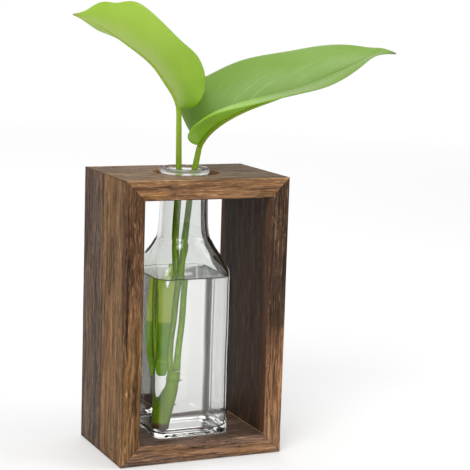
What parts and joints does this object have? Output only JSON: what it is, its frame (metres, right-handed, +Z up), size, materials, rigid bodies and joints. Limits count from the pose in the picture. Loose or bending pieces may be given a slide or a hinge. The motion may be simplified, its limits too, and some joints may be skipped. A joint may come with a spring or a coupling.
{
  "type": "propagation vase",
  "caption": "Upright open wooden frame with a square glass bottle hanging loose in its top hole, holding water and a leafy cutting that lifts out.",
  "frame": {"origin": "centre of the wooden frame's underside", "axes": "+Z up, -Y out of the frame's open front, +X to the right of someone who faces that front"},
  "size_m": [0.1735, 0.0934, 0.2685],
  "materials": {
    "top_board_wood": "satin",
    "frame_wood": "satin",
    "spline_wood": "matte",
    "bottle_glass": "gloss",
    "cane_tissue": "satin",
    "stem_tissue": "satin",
    "leaf_left_tissue": "satin",
    "leaf_right_tissue": "satin"
  },
  "bodies": {
    "frame": {"frame_top_board": "top_board_wood", "frame_bottom_board": "frame_wood", "frame_left_board": "frame_wood", "frame_right_board": "frame_wood", "spline_bottom_left": "spline_wood", "spline_bottom_right": "spline_wood", "spline_top_left": "spline_wood", "spline_top_right": "spline_wood"},
    "bottle": {"glass_bottle": "bottle_glass"},
    "cutting": {"cutting_cane": "cane_tissue", "petiole_left": "stem_tissue", "petiole_right": "stem_tissue", "leaf_sheath": "stem_tissue", "leaf_left": "leaf_left_tissue", "leaf_right": "leaf_right_tissue"}
  },
  "joints": [
    {"name": "bottle_lift", "type": "slide", "parent": "frame", "child": "bottle", "axis": [0, 0, 1], "range_m": [0, 0.018]},
    {"name": "cutting_lift", "type": "slide", "parent": "bottle", "child": "cutting", "axis": [0.1224, 0.0528, 0.9911], "range_m": [0, 0.16]}
  ]
}
